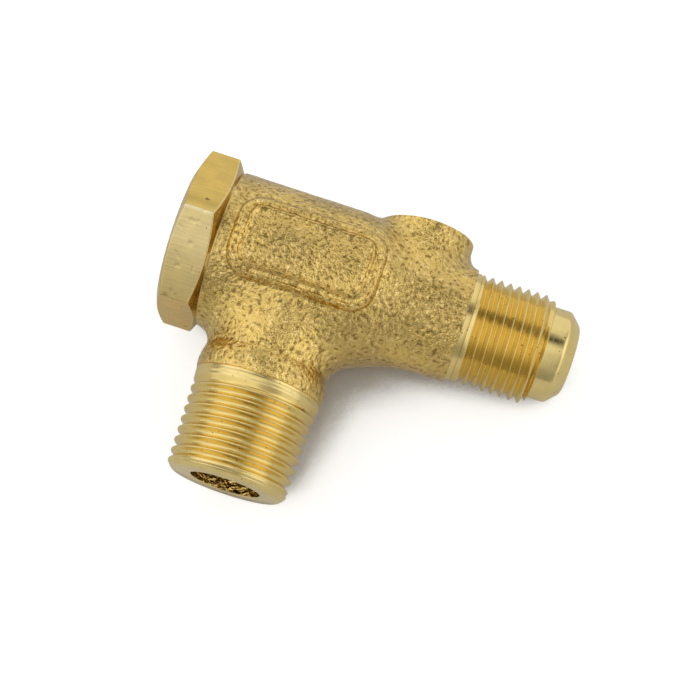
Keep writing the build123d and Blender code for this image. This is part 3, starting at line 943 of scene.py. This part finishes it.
class VALVE_OT_cap(bpy.types.Operator):
    """Turn the hexagon cap with its worn edges, knocks, spigot and guide bore"""
    bl_idname = "valve.cap"
    bl_label = "Cap"

    def execute(self, context):
        edge = context.scene.valve_cap.edge
        flat = np.linspace(FLAT_START, 60 - FLAT_START, FLAT_STEPS)
        sector = [*CORNER_STEPS, *flat, *(60 - step for step in CORNER_STEPS[:0:-1])]
        turn = np.array([k * 60 + a for k in range(6) for a in sector] + [360.0])
        angles = np.radians(turn + HEX_TURN)
        outer = hexagon_radius(turn, edge)
        reach = (outer - HEX_CHAMFER_R) * HEX_CHAMFER_SLOPE
        back, front = HEX_OUTER_X + reach, HEX_INNER_X - reach
        rise = edge * HEX_CHAMFER_SLOPE
        rows = [(HEX_OUTER_X, 0), (HEX_OUTER_X, HEX_FACE_MID_R), (HEX_OUTER_X, HEX_CHAMFER_R - 0.2),
                (HEX_OUTER_X + 0.03, HEX_CHAMFER_R + 0.1)]
        side = bend((back - rise, outer - edge), (back, outer), (back + edge, outer))
        length = front - back - 2 * edge
        side += [(back + edge + length * k / SIDE_ROWS, outer) for k in range(1, SIDE_ROWS)]
        side += bend((front - edge, outer), (front, outer), (front + rise, outer - edge))
        # The outer two rows at each end lie on the chamfers, which have no knocks
        side[2:-2] = [(place, knocked(place, radius, turn)) for place, radius in side[2:-2]]
        rows += side
        groove_end = MOUTH_X + GROOVE_LENGTH
        rows += [
            (HEX_INNER_X, FACE_R), (MOUTH_X, FACE_R), (MOUTH_X, GROOVE_R), (groove_end, GROOVE_R),
            (groove_end, CAP_CREST_R - CAP_LEAD), (groove_end + CAP_LEAD, CAP_CREST_R),
        ]
        thread_end = SPIGOT_END_X - SPIGOT_CHAMFER
        rows += thread_rows(groove_end + CAP_LEAD, thread_end, CAP_PITCH, 0.8, 0.3,
                            lambda x: CAP_CREST_R, CAP_THREAD_DEPTH, METRIC_THREAD, angles)
        rows += [
            (thread_end, CAP_CREST_R), (SPIGOT_END_X, CAP_CREST_R - SPIGOT_CHAMFER),
            (SPIGOT_END_X, GUIDE_R + BORE_EDGE), (SPIGOT_END_X - BORE_EDGE, GUIDE_R),
            (GUIDE_BOTTOM_X, GUIDE_R), (GUIDE_BOTTOM_X, 0),
        ]
        piece = spun("hexagon_cap", rows, angles)
        self.tint_and_painted_light(piece, edge)
        dress(piece, drawn_finish())
        hand_over(piece, "turned_brass", "hex_cap")
        return {"FINISHED"}

    def tint_and_painted_light(self, piece, edge):
        """Keep the bar's colour at each vertex of the hexagon, with painted light on its flats and a painted
        highlight along one edge.
        """
        mesh = piece.data
        places = np.zeros(len(mesh.vertices) * 3)
        mesh.vertices.foreach_get("co", places)
        places = places.reshape(-1, 3) / MM - CROSS
        turn = (np.degrees(np.arctan2(places[:, 2], places[:, 1])) - HEX_TURN) % 360
        colours = np.ones((len(turn), 4))
        # Painted light round the bar: lit and shaded flats, a thin painted highlight at 60 degrees and a
        # painted gradient across the middle flat
        for k in range(3):
            colours[:, k] = np.interp(turn, [at for at, _ in BAR_TINTS_AND_PAINTED_LIGHT], [colour[k] for _, colour in BAR_TINTS_AND_PAINTED_LIGHT])
        outer = hexagon_radius(turn, edge)
        to_edge = HEX_INNER_X - (outer - HEX_CHAMFER_R) * HEX_CHAMFER_SLOPE - places[:, 0]
        radius = np.hypot(places[:, 1], places[:, 2])
        on_edge = (to_edge > EDGE_BAND[0]) & (to_edge < EDGE_BAND[1]) & (radius > outer - EDGE_DEPTH)
        colours[on_edge, :3] = EDGE_TINT
        colours[to_edge < EDGE_BAND[0], :3] = FACE_TINT
        colours[radius < FACE_R - 0.5, :3] = SPIGOT_TINT
        layer = mesh.attributes.new("tint_and_painted_light", "FLOAT_COLOR", "POINT")
        layer.data.foreach_set("color", colours.ravel())


class VALVE_OT_inner_parts(bpy.types.Operator):
    """Finish the piston, the seals and the spring"""
    bl_idname = "valve.inner_parts"
    bl_label = "Inner parts"

    def execute(self, context):
        rubber = rubber_finish()
        finishes = {
            "valve_piston": turned_finish(context.scene.valve_turned, "piston_finish", 0),
            "seal_disc": rubber,
            "cap_o_ring": rubber,
            "return_spring": wire_finish(),
        }
        for name, finish in finishes.items():
            dress(frame["nodes"][name], finish)
        return {"FINISHED"}


def resting_plane():
    """Normal of the plane that the valve lies on, and a point on it: it touches cap, nipple and branch."""
    groups = []
    for name, test in (("hex_cap", lambda p: p[0] < 0), ("valve_body", lambda p: p[0] > 20),
                       ("valve_body", lambda p: p[1] < -20)):
        points = np.array([np.array(v.co) / MM - CROSS for v in frame["nodes"][name].data.vertices])
        groups.append(points[[bool(test(p)) for p in points]])
    normal = np.array([0, 0, 1.0])
    for _ in range(8):
        low = [g[np.argmin(g @ normal)] for g in groups]
        normal = np.cross(low[1] - low[0], low[2] - low[0])
        normal = normal * np.sign(normal[2]) / np.linalg.norm(normal)
    return normal, low[0]


def toward(azimuth, elevation):
    """Unit vector towards an azimuth and elevation in degrees."""
    turn, rise = math.radians(azimuth), math.radians(elevation)
    return Vector((math.cos(turn) * math.cos(rise), math.sin(turn) * math.cos(rise), math.sin(rise)))


def make_dome(scene):
    """Soft studio dome, lighter and darker in zones, and white where the camera sees past the floor."""
    world = bpy.data.worlds.new("studio")
    scene.world = world
    world.use_nodes = True
    nodes, links = world.node_tree.nodes, world.node_tree.links
    place = nodes.new("ShaderNodeTexCoord")
    level = None
    for azimuth, elevation, inner, outer, light in DOME_ZONES:
        dot = nodes.new("ShaderNodeVectorMath")
        dot.operation = "DOT_PRODUCT"
        links.new(place.outputs["Generated"], dot.inputs[0])
        dot.inputs[1].default_value = toward(azimuth, elevation)
        zone = nodes.new("ShaderNodeMapRange")
        zone.interpolation_type = "SMOOTHSTEP"
        zone.inputs["From Min"].default_value = math.cos(math.radians(outer))
        zone.inputs["From Max"].default_value = math.cos(math.radians(inner))
        zone.inputs["To Max"].default_value = light
        links.new(dot.outputs["Value"], zone.inputs["Value"])
        total = nodes.new("ShaderNodeMath")
        total.operation = "ADD"
        links.new(zone.outputs["Result"], total.inputs[0])
        if level is None:
            total.inputs[1].default_value = DOME_LEVEL
        else:
            links.new(level.outputs[0], total.inputs[1])
        level = total
    path = nodes.new("ShaderNodeLightPath")
    seen = nodes.new("ShaderNodeMix")
    seen.data_type = "FLOAT"
    links.new(path.outputs["Is Camera Ray"], seen.inputs[0])
    links.new(level.outputs[0], seen.inputs[2])
    seen.inputs[3].default_value = 1.0
    background = nodes["Background"]
    background.inputs["Color"].default_value = (1, 1, 1, 1)
    links.new(seen.outputs[0], background.inputs["Strength"])


def place_camera(scene):
    """Put the camera where the photo was taken from."""
    azimuth, elevation = math.radians(CAMERA_AZIMUTH), math.radians(CAMERA_ELEVATION)
    back = Vector((math.sin(azimuth) * math.cos(elevation), -math.cos(azimuth) * math.cos(elevation),
                   math.sin(elevation)))
    aim = (Vector(CAMERA_AIM) + Vector(CROSS)) * MM
    data = bpy.data.cameras.new("camera")
    data.lens = CAMERA_LENS
    data.sensor_width = CAMERA_FILM
    data.clip_start = 0.01
    camera = bpy.data.objects.new("camera", data)
    turn = (-back).to_track_quat("-Z", "Y").to_matrix().to_4x4() @ Matrix.Rotation(
        math.radians(-CAMERA_ROLL), 4, "Z")
    camera.matrix_world = Matrix.Translation(aim + back * CAMERA_DISTANCE * MM) @ turn
    scene.collection.objects.link(camera)
    scene.camera = camera


class VALVE_OT_stage(bpy.types.Operator):
    """Lay the floor, light the studio dome and place the camera"""
    bl_idname = "valve.stage"
    bl_label = "Stage"

    def execute(self, context):
        scene = context.scene
        scene.view_settings.view_transform = "Standard"
        normal, touch = resting_plane()
        floor_mesh = bpy.data.meshes.new("floor")
        turn = Vector((0, 0, 1)).rotation_difference(Vector(normal)).to_matrix()
        spot = (Vector(touch) + Vector(CROSS)) * MM
        corners = [spot + turn @ Vector((sx, sy, 0)) * FLOOR_HALF
                   for sx, sy in ((-1, -1), (1, -1), (1, 1), (-1, 1))]
        floor_mesh.from_pydata(corners, [], [(0, 1, 2, 3)])
        floor = bpy.data.objects.new("floor", floor_mesh)
        scene.collection.objects.link(floor)
        material, nodes, links, shader = new_material("white_floor")
        shader.inputs["Base Color"].default_value = scene.valve_stage.floor
        shader.inputs["Roughness"].default_value = 0.7
        shader.inputs["Specular IOR Level"].default_value = 0.1
        self.lift_to_white(nodes, links, shader, scene.valve_stage.glow)
        floor_mesh.materials.append(material)
        make_dome(scene)
        place_camera(scene)
        return {"FINISHED"}

    def lift_to_white(self, nodes, links, shader, glow):
        """White where the floor lies open; its own shade stays where the valve stands over it."""
        path = nodes.new("ShaderNodeLightPath")
        openness = nodes.new("ShaderNodeAmbientOcclusion")
        openness.inputs["Distance"].default_value = SHADOW_REACH
        openness.samples = SHADOW_SAMPLES
        lean = nodes.new("ShaderNodeCombineXYZ")
        for k, part in enumerate(toward(KEY_AZIMUTH, KEY_ELEVATION)):
            lean.inputs[k].default_value = part
        links.new(lean.outputs[0], openness.inputs["Normal"])
        lift = remap(nodes, links, openness.outputs["AO"], OPEN_FROM, OPEN_TO, 0.0, glow)
        seen = nodes.new("ShaderNodeMath")
        seen.operation = "MULTIPLY"
        links.new(lift, seen.inputs[0])
        links.new(path.outputs["Is Camera Ray"], seen.inputs[1])
        mirrored = nodes.new("ShaderNodeMath")
        mirrored.operation = "MAXIMUM"
        links.new(path.outputs["Is Glossy Ray"], mirrored.inputs[0])
        links.new(path.outputs["Is Transmission Ray"], mirrored.inputs[1])
        light = nodes.new("ShaderNodeEmission")
        strength = weighted(nodes, links, seen.outputs[0], mirrored.outputs[0], MIRRORED_GLOW)
        links.new(strength, light.inputs["Strength"])
        total = nodes.new("ShaderNodeAddShader")
        links.new(shader.outputs[0], total.inputs[0])
        links.new(light.outputs[0], total.inputs[1])
        links.new(total.outputs[0], nodes["Material Output"].inputs["Surface"])


class VALVE_PT_panel(bpy.types.Panel):
    """Buttons that build the valve, in order"""
    bl_label = "Non-return valve"
    bl_space_type = "VIEW_3D"
    bl_region_type = "UI"
    bl_category = "Valve"

    def draw(self, context):
        for operator in OPERATORS:
            self.layout.operator(operator.bl_idname)


OPERATORS = (VALVE_OT_casting, VALVE_OT_nipple, VALVE_OT_tank_end, VALVE_OT_cap, VALVE_OT_inner_parts,
             VALVE_OT_stage)
GROUPS = {
    "valve_casting": CastingSettings,
    "valve_turned": TurnedSettings,
    "valve_cap": CapSettings,
    "valve_stage": StageSettings,
}


def register():
    for cls in (*GROUPS.values(), *OPERATORS, VALVE_PT_panel):
        bpy.utils.register_class(cls)
    for name, group in GROUPS.items():
        setattr(bpy.types.Scene, name, PointerProperty(type=group))


def unregister():
    for name in GROUPS:
        delattr(bpy.types.Scene, name)
    for cls in reversed((*GROUPS.values(), *OPERATORS, VALVE_PT_panel)):
        bpy.utils.unregister_class(cls)


def main():
    register()
    for operator in OPERATORS:
        module, name = operator.bl_idname.split(".")
        getattr(getattr(bpy.ops, module), name)()


if __name__ == "__main__":
    main()
